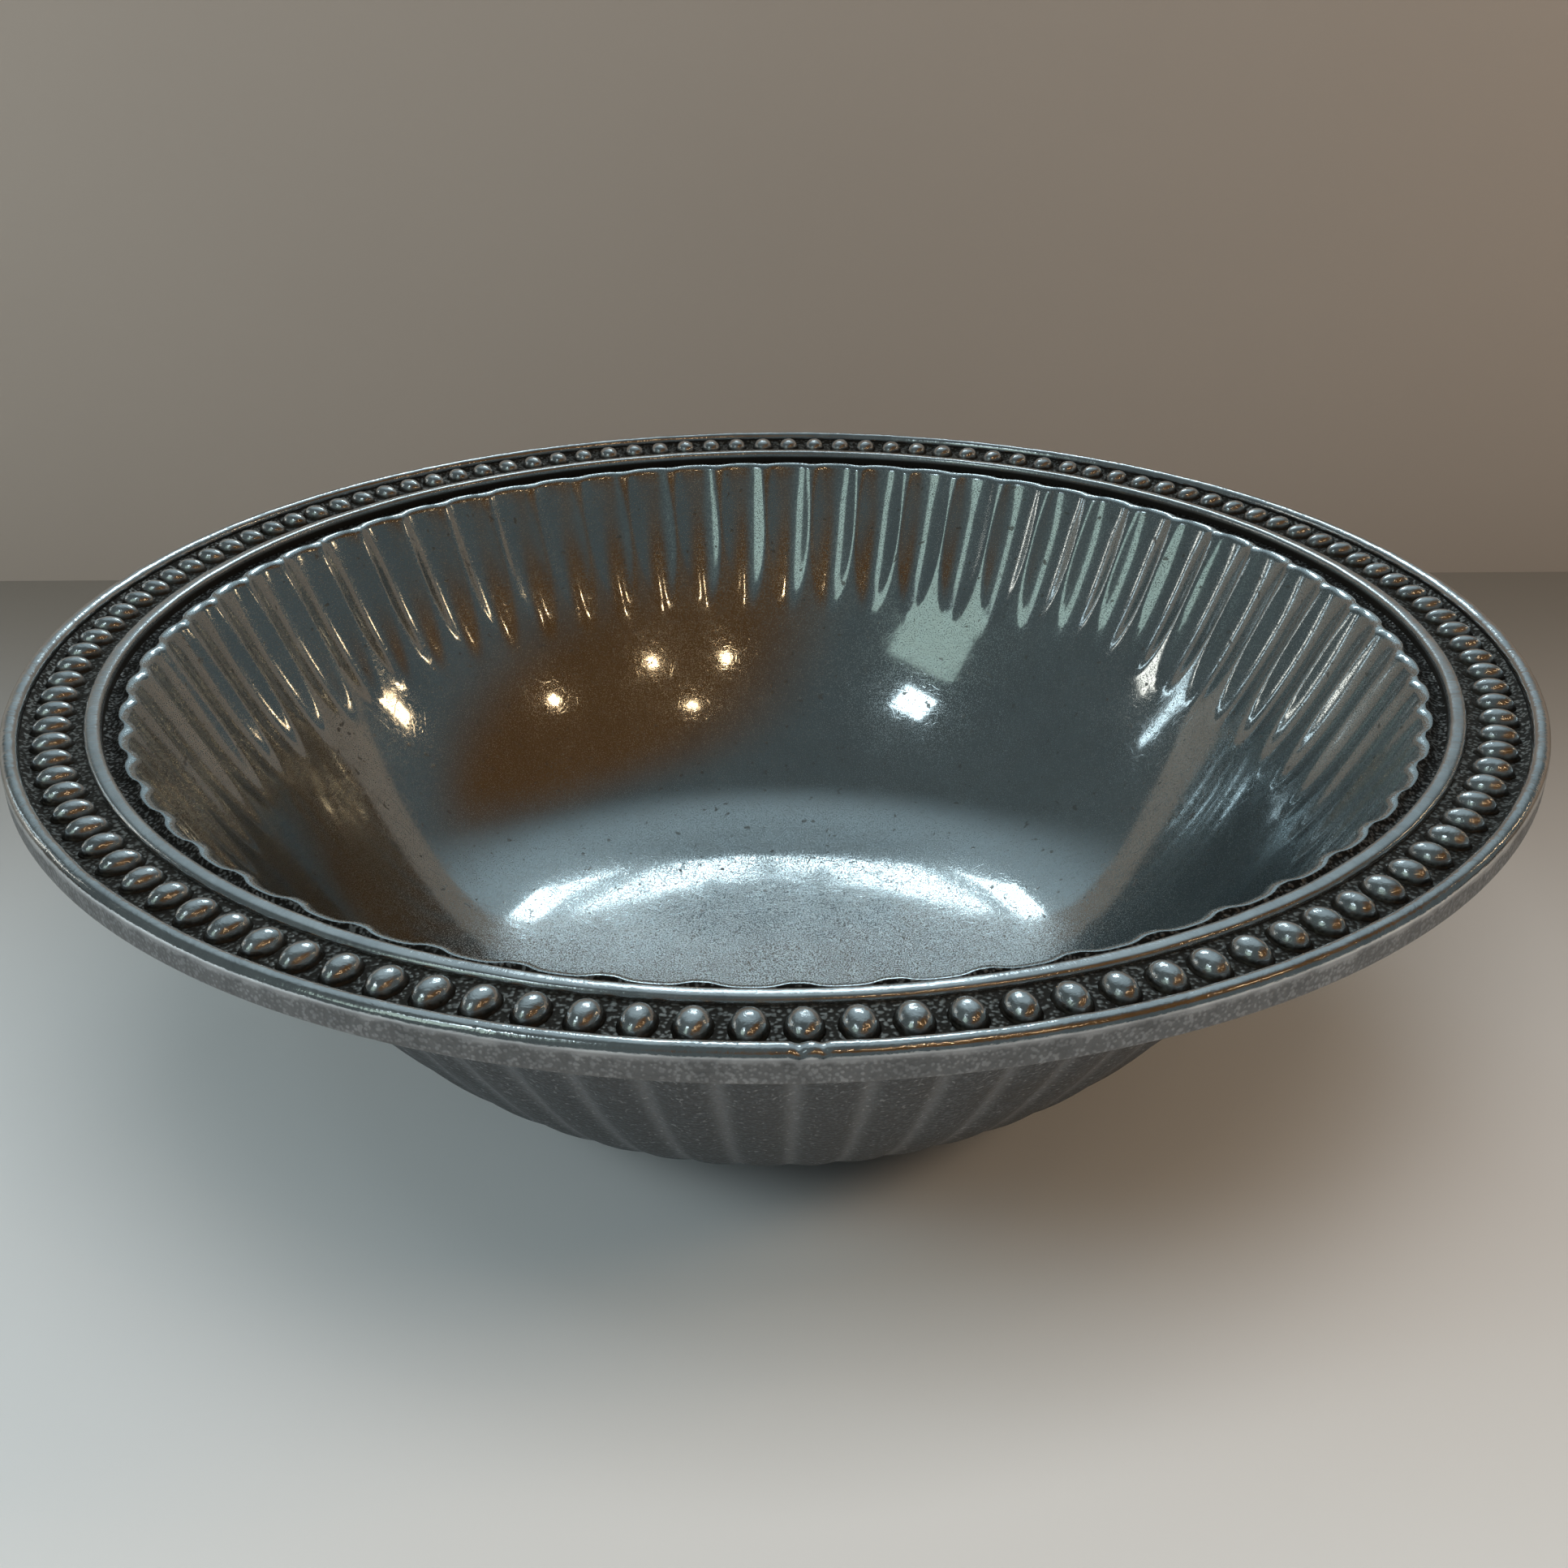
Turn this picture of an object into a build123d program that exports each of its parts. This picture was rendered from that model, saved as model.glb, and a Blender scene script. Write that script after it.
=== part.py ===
from build123d import *
import math
import os

# A round serving bowl, sand-cast in a pewter-coloured alloy: a fluted inside over a plain polished
# floor, lobes outside that answer the flutes, and a flat rim with a row of beads between two rails.
# The real bowl is one casting. Its zones are kept here as separate solids that meet face to face
# where its shape or its finish changes.
# Millimetres. The origin is the middle of the base, on the table, with +Z up.

os.makedirs("parts", exist_ok=True)

# Counts round the bowl, and where the first of each stands
flute_count = 60
flute_phase_degrees = 1.2
bead_count = 120
bead_phase_degrees = 1.4

# Inside of the bowl, measured on the ridges between the flutes
floor_radius = 69.0
mouth_radius = 152.9
wall_slope_degrees = 60.6
wall_thickness = 5.0
lip_radius = 4.0
flute_depth = 1.9
lobe_depth = 1.2

# How the wall's curve leaves the floor and reaches the mouth, and where the floor's plate ends
floor_handle_share = 0.43
wall_handle_share = 0.72
flute_foot_share = 0.55
flute_full_share = 0.80
floor_plate_share = 0.11

# Heights above the table, and what stands above or lies below them
floor_edge_height = 16.0
channel_height = 102.4
groove_drop = 1.4
flange_thickness = 3.3
inner_rail_rise = 1.3
outer_rail_rise = 3.1
bead_rise = 3.0

# Widths across the rim, from the mouth outwards
groove_width = 4.4
inner_rail_width = 3.8
channel_width = 12.6
outer_rail_width = 3.8
bead_length = 8.4
bead_width = 6.2

# Sections of the lofted surfaces
wall_section_shares = [0, 0.12, 0.24, 0.36, 0.48, 0.58, 0.68, 0.76, 0.84, 0.92, 1]
lip_section_shares = [0.35, 0.7, 1]

# Places that follow from the sizes above
collar_radius = mouth_radius + groove_width
channel_inner_radius = collar_radius + inner_rail_width
channel_outer_radius = channel_inner_radius + channel_width
bead_circle_radius = (channel_inner_radius + channel_outer_radius) / 2
rim_radius = channel_outer_radius + outer_rail_width
groove_height = channel_height - groove_drop
flange_underside = channel_height - flange_thickness
wall_slope = math.radians(wall_slope_degrees)
lip_foot_radius = mouth_radius - lip_radius * math.sin(wall_slope)
lip_foot_height = groove_height - lip_radius * (1 - math.cos(wall_slope))
flute_foot_height = wall_thickness + flute_foot_share * (lip_foot_height - wall_thickness)
floor_plate_radius = floor_radius + floor_plate_share * (lip_foot_radius - floor_radius)


def wall_curve():
    """The inside of the wall from the floor's edge to the foot of the lip, as one smooth curve."""
    run = lip_foot_radius - floor_radius
    rise = lip_foot_height - wall_thickness
    pull = wall_handle_share * rise
    return Bezier(
        (floor_radius, wall_thickness),
        (floor_radius + floor_handle_share * run, wall_thickness),
        (lip_foot_radius - pull / math.tan(wall_slope), lip_foot_height - pull),
        (lip_foot_radius, lip_foot_height),
    )


def smooth_step(value, low, high):
    """A rise from 0 at low to 1 at high that starts and ends level."""
    share = min(max((value - low) / (high - low), 0), 1)
    return share * share * (3 - 2 * share)


def flute_depth_at(height):
    """The flutes run out into the plain lower wall: full depth above, none at their foot."""
    share = (height - wall_thickness) / (lip_foot_height - wall_thickness)
    return flute_depth * smooth_step(share, flute_foot_share, flute_full_share)


def ring_point(radius, height, flutes_along):
    """A point of a ring, a number of flutes on from the first ridge."""
    angle = math.radians(flute_phase_degrees + flutes_along * 360 / flute_count)
    return (radius * math.cos(angle), radius * math.sin(angle), height)


def scalloped_ring(crease_radius, arch_depth, height):
    """A closed ring of equal arcs that meet in creases and arch outwards between them."""
    arcs = []
    for flute in range(flute_count):
        start = ring_point(crease_radius, height, flute)
        middle = ring_point(crease_radius + arch_depth, height, flute + 1 / 2)
        end = ring_point(crease_radius, height, flute + 1)
        arcs.append(ThreePointArc(start, middle, end))
    return Wire(arcs)


def make_cavity():
    """The space inside the bowl, up through the rounded lip to the floor of the groove."""
    curve = wall_curve()
    rings = []
    for share in wall_section_shares:
        point = curve @ share
        rings.append(scalloped_ring(point.X, flute_depth_at(point.Y), point.Y))
    for share in lip_section_shares:
        lean = wall_slope * (1 - share)
        radius = mouth_radius - lip_radius * math.sin(lean)
        height = groove_height - lip_radius * (1 - math.cos(lean))
        rings.append(scalloped_ring(radius, flute_depth, height))
    return Solid.make_loft(rings)


def make_outside():
    """The lobed outside, a wall's thickness from the ridges, from the base to under the rim."""
    curve = wall_curve()
    rings = []
    for share in wall_section_shares:
        point = curve @ share
        along = (curve % share).normalized()
        crest_radius = point.X + wall_thickness * along.Y
        height = point.Y - wall_thickness * along.X
        depth = lobe_depth * crest_radius / mouth_radius
        rings.append(scalloped_ring(crest_radius - depth, depth, height))
    top_radius = crest_radius + (flange_underside - height) / math.tan(wall_slope)
    rings.append(scalloped_ring(top_radius - lobe_depth, lobe_depth, flange_underside))
    return Solid.make_loft(rings)


def upright_ring(inner_radius, outer_radius, bottom, top):
    """A plain ring with square sides."""
    width = outer_radius - inner_radius
    section = Pos(inner_radius, 0, bottom) * Rectangle(width, top - bottom, align=Align.MIN).rotate(Axis.X, 90)
    return revolve(section, Axis.Z)


def make_bowl():
    """Wall, floor and the collar round the mouth that carries the dark groove, in one."""
    collar = Pos(0, 0, flange_underside) * Cylinder(
        collar_radius, groove_height - flange_underside, align=(Align.CENTER, Align.CENTER, Align.MIN)
    )
    return make_outside() + collar - make_cavity()


def make_bowl_zones():
    """The bowl in four zones: its floor plate, the turn round it, the plain wall and the flutes."""
    floor_edge = Plane.XY.offset(floor_edge_height)
    flute_foot = Plane.XY.offset(flute_foot_height)
    bowl = make_bowl()
    low = split(bowl, bisect_by=floor_edge, keep=Keep.BOTTOM)
    walls = split(bowl, bisect_by=floor_edge, keep=Keep.TOP)
    within_plate = Cylinder(
        floor_plate_radius, floor_edge_height, align=(Align.CENTER, Align.CENTER, Align.MIN)
    )
    return {
        "bowl_floor": low & within_plate,
        "floor_turn": low - within_plate,
        "plain_wall": split(walls, bisect_by=flute_foot, keep=Keep.BOTTOM),
        "fluted_wall": split(walls, bisect_by=flute_foot, keep=Keep.TOP),
    }


def make_rim_flange():
    """The flat of the rim: its top is the floor of the beaded channel."""
    return upright_ring(channel_inner_radius, channel_outer_radius, flange_underside, channel_height)


def make_inner_rail():
    """The rounded rail between the channel and the groove, as deep as the flat of the rim."""
    crown = ThreePointArc(
        (collar_radius, 0, channel_height),
        (collar_radius + inner_rail_width / 2, 0, channel_height + inner_rail_rise),
        (channel_inner_radius, 0, channel_height),
    )
    sides = Polyline(
        (channel_inner_radius, 0, channel_height),
        (channel_inner_radius, 0, flange_underside),
        (collar_radius, 0, flange_underside),
        (collar_radius, 0, channel_height),
    )
    return revolve(make_face([crown, sides]), Axis.Z)


def make_outer_rail():
    """The edge of the rim: a tall outer face with a half-round rail along its top."""
    shoulder = channel_height + outer_rail_rise - outer_rail_width / 2
    crown_radius = channel_outer_radius + outer_rail_width / 2
    crown = ThreePointArc(
        (channel_outer_radius, 0, shoulder),
        (crown_radius, 0, channel_height + outer_rail_rise),
        (rim_radius, 0, shoulder),
    )
    sides = Polyline(
        (rim_radius, 0, shoulder),
        (rim_radius, 0, flange_underside),
        (channel_outer_radius, 0, flange_underside),
        (channel_outer_radius, 0, shoulder),
    )
    return revolve(make_face([crown, sides]), Axis.Z)


def make_bead():
    """One bead: half an egg-shaped dome, longer across the rim than along it."""
    dome = scale(Sphere(1), by=(bead_length / 2, bead_width / 2, bead_rise))
    above = Pos(0, 0, bead_rise / 2) * Box(bead_length, bead_width, bead_rise)
    return dome & above


def make_rim_beads():
    """All the beads, seated on the floor of the channel midway between the rails."""
    bead = make_bead()
    beads = []
    for index in range(bead_count):
        turn = bead_phase_degrees + index * 360 / bead_count
        beads.append(Rot(0, 0, turn) * Pos(bead_circle_radius, 0, channel_height) * bead)
    return Compound(beads)


nodes = {
    **make_bowl_zones(),
    "rim_flange": make_rim_flange(),
    "inner_rail": make_inner_rail(),
    "outer_rail": make_outer_rail(),
    "rim_beads": make_rim_beads(),
}

for name, shape in nodes.items():
    export_step(shape, f"parts/{name}.step")
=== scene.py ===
# %% [markdown]
# # A fluted serving bowl with a beaded rim
# The real bowl is one sand casting in a pewter-coloured alloy. The inside was scooped into 60 flutes and
# polished by hand; the outside was left as it came from the sand. Round the mouth runs a flat rim: a
# dark groove, a low rail, a channel full of beads and a raised edge.
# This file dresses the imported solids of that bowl. Each visible zone gets a finer skin than the solid has,
# and a finish built from nodes. Lengths are metres, with +Z up and the bowl standing on z = 0.

# %% Load the frame
import math
import random

import bpy
import numpy as np
from mathutils import Matrix, Vector, noise


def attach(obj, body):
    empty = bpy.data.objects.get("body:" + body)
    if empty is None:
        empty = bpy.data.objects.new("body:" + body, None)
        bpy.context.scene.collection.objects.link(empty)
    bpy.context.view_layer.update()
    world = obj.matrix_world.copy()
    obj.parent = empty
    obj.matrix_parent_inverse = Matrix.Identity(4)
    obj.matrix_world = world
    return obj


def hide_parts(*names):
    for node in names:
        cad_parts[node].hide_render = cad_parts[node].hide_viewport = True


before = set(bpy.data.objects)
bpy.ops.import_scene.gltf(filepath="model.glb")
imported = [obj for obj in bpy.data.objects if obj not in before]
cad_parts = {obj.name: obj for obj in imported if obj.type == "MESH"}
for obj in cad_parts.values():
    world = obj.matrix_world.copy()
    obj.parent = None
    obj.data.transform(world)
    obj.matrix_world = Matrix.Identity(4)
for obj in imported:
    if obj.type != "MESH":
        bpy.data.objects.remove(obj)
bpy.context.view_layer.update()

# %% [markdown]
# ## The sizes of the bowl
# A founder would start from the same few numbers: how wide the mouth is, how deep the flutes are cut, how
# the rim steps outwards. They are the sizes of the solids, so the new skins lie on the solids that they
# stand for. What differs is the hand's work inside: the lip is rounded more tightly, the flutes are
# scooped a little deeper, and the floor is dished and turns up into the wall more gently, so that a window
# above the bowl is mirrored in it as a bent band.

# %% The sizes
MM = 0.001
flute_count, flute_phase = 60, math.radians(1.2)
bead_count, bead_phase = 120, math.radians(1.4)

floor_radius, mouth_radius = 69.0 * MM, 152.9 * MM
wall_slope, wall_thickness = math.radians(60.6), 5.0 * MM
lip_radius, flute_depth, lobe_depth = 3.0 * MM, 2.3 * MM, 1.2 * MM
floor_thickness, floor_dish, floor_curl = 2.6 * MM, 3.7 * MM, 1.6 * MM

groove_height, channel_height, rim_underside = 101.0 * MM, 102.4 * MM, 99.1 * MM
collar_radius, channel_inner_radius = 157.3 * MM, 161.1 * MM
channel_outer_radius, rim_radius = 173.7 * MM, 177.5 * MM
bead_circle_radius = (channel_inner_radius + channel_outer_radius) / 2

lip_foot_radius = mouth_radius - lip_radius * math.sin(wall_slope)
lip_foot_height = groove_height - lip_radius * (1 - math.cos(wall_slope))
print("a flute is", round(2000 * math.pi * mouth_radius / flute_count, 1), "mm wide at the mouth")

# %% [markdown]
# ## Skins turned round the axis
# Nearly every zone of the bowl is a ring or a dish, so one helper makes them all: it takes rings of
# points, one row for each ring, and sews them into a closed skin. The bowl gets a small flat cap at both
# ends of its rows, on the axis; a rail or a channel closes on itself instead. Working from whole arrays
# of radii and heights keeps the flutes, lobes and grain exact, where a lathe-like modifier could only make
# plain circles.

# %% A helper that sews rings of points into a closed skin
def ring_points(angles, radii, heights):
    """Points of many rings at once; radii and heights have one row for each ring."""
    radii, heights = np.broadcast_arrays(radii, heights, np.zeros((1, len(angles))))[:2]
    return np.stack([radii * np.cos(angles), radii * np.sin(angles), heights], axis=-1)


def sewn_faces(rows, columns, closes):
    """Four-sided faces between neighbouring rings, and round from the last row to the first if it closes."""
    row = np.arange(rows if closes else rows - 1)[:, None]
    column = np.arange(columns)[None, :]
    next_row, next_column = (row + 1) % rows, (column + 1) % columns
    corners = [
        row * columns + column,
        row * columns + next_column,
        next_row * columns + next_column,
        next_row * columns + column,
    ]
    return np.stack([np.broadcast_to(c, (len(row), columns)) for c in corners], axis=-1).reshape(-1, 4)


def enclosed_volume(points, faces):
    """Volume inside a closed skin of four-sided faces, negative if the faces look inwards."""
    a, b, c, d = (points[faces[:, k]] for k in range(4))
    return (np.einsum("ij,ij->i", a, np.cross(b, c)) + np.einsum("ij,ij->i", a, np.cross(c, d))).sum() / 6


def new_skin(name, points, faces, caps=(), face_slots=None, crease_degrees=40):
    """A smooth mesh object from its points and faces, looking outwards, sharp only across real creases."""
    flipped = enclosed_volume(points, faces) < 0
    if flipped:
        faces = faces[:, ::-1]
        caps = [cap[::-1] for cap in caps]
    mesh = bpy.data.meshes.new(name)
    mesh.from_pydata(points.tolist(), [], faces.tolist() + [list(cap) for cap in caps])
    mesh.polygons.foreach_set("use_smooth", [True] * len(mesh.polygons))
    if face_slots is not None:
        mesh.polygons.foreach_set("material_index", list(face_slots) + [face_slots[-1]] * len(caps))
    mesh.set_sharp_from_angle(angle=math.radians(crease_degrees))
    mesh.update()
    piece = bpy.data.objects.new(name, mesh)
    bpy.context.scene.collection.objects.link(piece)
    volume = abs(enclosed_volume(points, faces)) * 1e6
    print(name, "has", len(mesh.polygons), "faces and holds", round(volume, 1), "cm3")
    return piece


def stand_for(piece, slot, *nodes):
    """The piece moves with the bowl and hides the solids it stands for; slot is not used."""
    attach(piece, "root")
    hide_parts(*nodes)

# %% [markdown]
# ## The run of the wall
# Seen in section, the wall leaves the gently dished floor, turns up in one long sweep and reaches the lip
# at about 60 degrees. A Bezier curve with four handles gives that sweep. Every flute has the same
# section across: deepest in the middle, with a narrow rounded ridge on each side. Points are crowded
# towards the ridges, because that is where the shape turns fastest.

# %% The wall's curve and the section of a flute
floor_handle_share, wall_handle_share = 0.42, 0.62


def wall_point(share):
    """Radius and height of the ridges, from the floor's edge at 0 to the foot of the lip at 1."""
    start = floor_thickness + floor_dish + floor_curl
    first_slope = (2 * floor_dish + 4 * floor_curl) / floor_radius
    run, rise = lip_foot_radius - floor_radius, lip_foot_height - start
    outwards, downwards = floor_handle_share * run, wall_handle_share * rise
    handles = np.array([
        (floor_radius, start),
        (floor_radius + outwards, start + outwards * first_slope),
        (lip_foot_radius - downwards / math.tan(wall_slope), lip_foot_height - downwards),
        (lip_foot_radius, lip_foot_height),
    ])
    share = np.asarray(share)[:, None]
    weights = [(1 - share) ** 3, 3 * share * (1 - share) ** 2, 3 * share ** 2 * (1 - share), share ** 3]
    return sum(weight * handle for weight, handle in zip(weights, handles)).T


def smooth_step(value, low, high):
    """A rise from 0 at low to 1 at high that starts and ends level."""
    share = np.clip((value - low) / (high - low), 0, 1)
    return share * share * (3 - 2 * share)


def scoop(across, softness, fullness=2):
    """Section of a flute or a lobe: 1 in its middle, falling to a rounded 0 at across = -1 and 1."""
    inward = 1 - np.abs(across)
    softened = (np.sqrt(inward ** 2 + softness ** 2) - softness) / (math.sqrt(1 + softness ** 2) - softness)
    return 1 - (1 - softened) ** fullness


steps_per_flute = 16
across = np.tile(np.sin(np.linspace(-math.pi / 2, math.pi / 2, steps_per_flute, endpoint=False)), flute_count)
flute_index = np.repeat(np.arange(flute_count), steps_per_flute)
flute_angles = flute_phase + (flute_index + (across + 1) / 2) * 2 * math.pi / flute_count
print("the bowl's rings have", len(flute_angles), "points, crowded towards the ridges")

# %% [markdown]
# ## The bowl: polished inside, dark groove, sand-cast outside
# The flutes look like the marks of a spoon-shaped cutter pressed into the wall. Each one is deepest 15 mm
# below the lip and grows shallower above and below, like a spoon's bowl. Taking that loss away from the
# section makes the pointed feet by itself: low on the wall only the middle of the scoop is left. Near the
# lip the scoops open into flat arches with narrow notches between them. Half way up, the wall itself is
# 2.4 mm rounder than a straight sweep. Outside, one shallow lobe stands behind each flute.

# %% The bowl's skin, from the middle of the floor over the lip to the middle of the base
scoop_middle, scoop_reach = lip_foot_height - 15 * MM, 25 * MM
ridge_softness, arch_fullness, crease_softness = 0.10, 3.2, 0.07
wall_bulge = 2.4 * MM


def flute_radii(radius, height, at_lip=0.0):
    """Radii of one or more rings inside the bowl: the ridge radius plus the depth of the flutes."""
    uncut = flute_depth * ((height - scoop_middle) / scoop_reach) ** 2
    arch = scoop(across, ridge_softness, fullness=arch_fullness)
    section = scoop(across, ridge_softness) * (1 - at_lip) + arch * at_lip
    depth = flute_depth * section - uncut
    softness = 0.25 * MM
    return radius + (depth + np.sqrt(depth ** 2 + softness ** 2)) / 2


def column(values):
    """A list of values as one column, so that it spreads over a whole ring."""
    return np.asarray(values, float)[:, None]


floor_shares = column([0.02, 0.12, 0.24, 0.36, 0.48, 0.6, 0.72, 0.84, 0.93])
floor_heights = floor_thickness + floor_dish * floor_shares ** 2 + floor_curl * floor_shares ** 4
inside_floor = ring_points(flute_angles, floor_shares * floor_radius, floor_heights)

wall_shares = np.linspace(0, 1, 50)
ridge_radius, ridge_height = (column(v) for v in wall_point(wall_shares))
near_lip = smooth_step(ridge_height, lip_foot_height - 9 * MM, lip_foot_height)
up_the_wall = (ridge_height - ridge_height[0]) / (lip_foot_height - ridge_height[0])
rounder = ridge_radius + wall_bulge * np.sin(math.pi * up_the_wall) ** 1.5
inside_wall = ring_points(flute_angles, flute_radii(rounder, ridge_height, near_lip), ridge_height)

lean = wall_slope * (1 - column(np.linspace(0, 1, 8)[1:]))
lip_radii = mouth_radius - lip_radius * np.sin(lean)
lip_heights = groove_height - lip_radius * (1 - np.cos(lean))
inside_lip = ring_points(flute_angles, flute_radii(lip_radii, lip_heights, 1.0), lip_heights)

edge_radii = flute_radii(column([mouth_radius]), column([groove_height]), 1.0)
outwards = column([0.10, 0.22, 0.42, 0.65, 0.85, 1.0])
groove_drop = column([0.15, 0.55, 0.85, 0.95, 0.9, 0.7]) * MM
groove_radii = edge_radii + outwards * (collar_radius - edge_radii)
groove = ring_points(flute_angles, groove_radii, groove_height - groove_drop)

crest_low, crest_high = wall_point(np.linspace(0, 1, 26))
along = np.gradient(np.stack([crest_low, crest_high]), axis=1)
along = along / np.hypot(*along)
crest_radius = column(crest_low + wall_thickness * along[1])
crest_height = column(crest_high - wall_thickness * along[0])
crest_height[0] = 0
lobes = lobe_depth * crest_radius / mouth_radius
in_crease = 1 - scoop(across, crease_softness)
outside_wall = ring_points(flute_angles, crest_radius - lobes * in_crease, crest_height)

fillet_turn = column([0.0, 0.3, 0.6, 1.0])
fillet_start = crest_radius[-1] + 0.9 * MM
fillet_radii = fillet_start + fillet_turn ** 2 * (collar_radius - fillet_start)
fillet_lobes = lobe_depth * (1 - fillet_turn) * in_crease
fillet_heights = rim_underside - 1.2 * MM * (1 - fillet_turn) ** 2
underside = ring_points(flute_angles, fillet_radii - fillet_lobes, fillet_heights)
base = ring_points(flute_angles, column([0.9, 0.6, 0.3]) * floor_radius, 0)

bands = [
    (inside_floor, 0), (inside_wall, 0), (inside_lip, 0), (groove, 1),
    (underside[::-1], 2), (outside_wall[::-1], 2), (base, 2),
]
bowl_rows = np.concatenate([points for points, slot in bands])
row_slots = np.concatenate([[slot] * len(points) for points, slot in bands])
bowl_faces = sewn_faces(len(bowl_rows), len(flute_angles), closes=False)
last_row = (len(bowl_rows) - 1) * len(flute_angles)
caps = [list(range(len(flute_angles)))[::-1], list(range(last_row, last_row + len(flute_angles)))]
cast_bowl = new_skin(
    "cast_bowl", bowl_rows.reshape(-1, 3), bowl_faces, caps,
    np.repeat(row_slots[1:], len(flute_angles)),
)
cast_bowl.data.polygons[len(bowl_faces)].material_index = 0
stand_for(cast_bowl, "polished_bowl", "bowl_floor", "floor_turn", "plain_wall", "fluted_wall")

# %% [markdown]
# ## The channel between the rails
# The flat of the rim was never polished: its top is the rough floor that the beads stand on. Real grain
# at this scale shows in the outline of every shadow between the beads, so it is moved into the mesh, not
# only into the finish. Noise from the position of each point gives the same grain on every run.

# %% The channel floor, grainy on top and plain underneath
def even_angles(count):
    return np.linspace(0, 2 * math.pi, count, endpoint=False)


def grain(points, size, amount):
    """Heights that wander by an amount over patches of a size, read from the points' own positions."""
    flat = points.reshape(-1, 3) / size
    heights = [noise.noise(Vector(p)) for p in flat.tolist()]
    return amount * np.array(heights).reshape(points.shape[:-1])


channel_angles = even_angles(1320)
top_radii = column(np.linspace(channel_inner_radius, channel_outer_radius, 20))
channel_top = ring_points(channel_angles, top_radii, channel_height)
channel_top[..., 2] += grain(channel_top, 1.4 * MM, 0.16 * MM) - 0.04 * MM
climb = smooth_step(top_radii, channel_outer_radius - 1.6 * MM, channel_outer_radius)
channel_top[..., 2] += 0.9 * MM * climb
bottom_radii = column([channel_outer_radius, bead_circle_radius, channel_inner_radius])
channel_bottom = ring_points(channel_angles, bottom_radii, rim_underside)
channel_rows = np.concatenate([channel_top, channel_bottom])
channel_slots = [0] * 19 + [1] * 4
channel_floor = new_skin(
    "channel_floor", channel_rows.reshape(-1, 3),
    sewn_faces(len(channel_rows), len(channel_angles), closes=True),
    face_slots=np.repeat(channel_slots, len(channel_angles)),
)
stand_for(channel_floor, "channel_floor", "rim_flange")

# %% [markdown]
# ## The two rails
# A rail is one small section swept round the rim. The inner one is low and softly rounded; the outer one
# has a half-round crown over a tall face, and it is the part that knocks against things. Its crown
# wanders a little, and two small dents sit side by side in the front of it, as on the real bowl.

# %% The inner rail
def arc_rows(centre_radius, centre_height, half_width, rise, count, fullness=2.0):
    """Radii and heights over a crown, from its inner to its outer side; more fullness flattens its top."""
    turn = np.linspace(math.pi, 0, count)
    across, upwards = np.cos(turn), np.sin(turn)
    radii = centre_radius + half_width * np.sign(across) * np.abs(across) ** (2 / fullness)
    return radii, centre_height + rise * upwards ** (2 / fullness)


def swept_rail(name, section_radii, section_heights, wander, side_count, columns, dents=()):
    """A rail with a given section; wander lifts and lowers its crown; dents are (degrees, width, depth)."""
    angles = even_angles(columns)
    rail = ring_points(angles, column(section_radii), column(section_heights))
    height_above = np.clip((rail[..., 2] - channel_height) / MM, 0, 1)
    rail[..., 2] += height_above * grain(rail, 9 * MM, wander)
    rail[..., 0:2] *= (1 + height_above * grain(rail + 1.0, 11 * MM, wander) / rim_radius)[..., None]
    for degrees, width, depth in dents:
        away = (angles - math.radians(degrees) + math.pi) % (2 * math.pi) - math.pi
        rail[..., 2] -= height_above * depth * np.exp(-(away * rim_radius / width) ** 2)
    slots = np.repeat([0] * (len(section_radii) - side_count) + [1] * side_count, columns)
    return new_skin(name, rail.reshape(-1, 3), sewn_faces(len(rail), columns, closes=True), face_slots=slots,
                    crease_degrees=50)


inner_middle = (collar_radius + channel_inner_radius) / 2
inner_half = (channel_inner_radius - collar_radius) / 2
inner_shoulder = channel_height - 0.6 * MM
crown_radii, crown_heights = arc_rows(inner_middle, inner_shoulder, inner_half, 1.9 * MM, 21, fullness=3.0)
inner_rail = swept_rail(
    "inner_rail_polished",
    [collar_radius, collar_radius, *crown_radii, channel_inner_radius, channel_inner_radius],
    [rim_underside, groove_height - 0.8 * MM, *crown_heights, groove_height, rim_underside],
    wander=0.08 * MM, side_count=1, columns=1080,
)
stand_for(inner_rail, "polished_rail", "inner_rail")

# %% The outer rail with its worn crown and two dents
outer_middle = (channel_outer_radius + rim_radius) / 2
outer_half = (rim_radius - channel_outer_radius) / 2
shoulder = 103.6 * MM
crown_radii, crown_heights = arc_rows(outer_middle, shoulder, outer_half, 1.87 * MM, 23, fullness=2.2)
face_heights = np.linspace(shoulder - 0.5 * MM, rim_underside + 0.5 * MM, 7)
outer_rail = swept_rail(
    "outer_rail_worn",
    [channel_outer_radius, channel_outer_radius, *crown_radii, *([rim_radius] * 7),
     rim_radius - 0.15 * MM, rim_radius - 0.5 * MM],
    [rim_underside, channel_height - 0.2 * MM, *crown_heights, *face_heights,
     rim_underside + 0.15 * MM, rim_underside],
    wander=0.10 * MM, side_count=1, columns=1800,
    dents=[(-89.0, 0.9 * MM, 0.5 * MM), (-87.8, 0.8 * MM, 0.4 * MM)],
)
stand_for(outer_rail, "edge_rail", "outer_rail")

# %% [markdown]
# ## The beads
# The founder's pattern had 120 egg-shaped beads, longer across the rim than along it. Each was cast with
# the rim, then only its top was touched by the wheel, so no two are quite alike. One dome is made as a
# little turned shape with a flared foot, and copied with small seeded differences of size and place.

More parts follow.
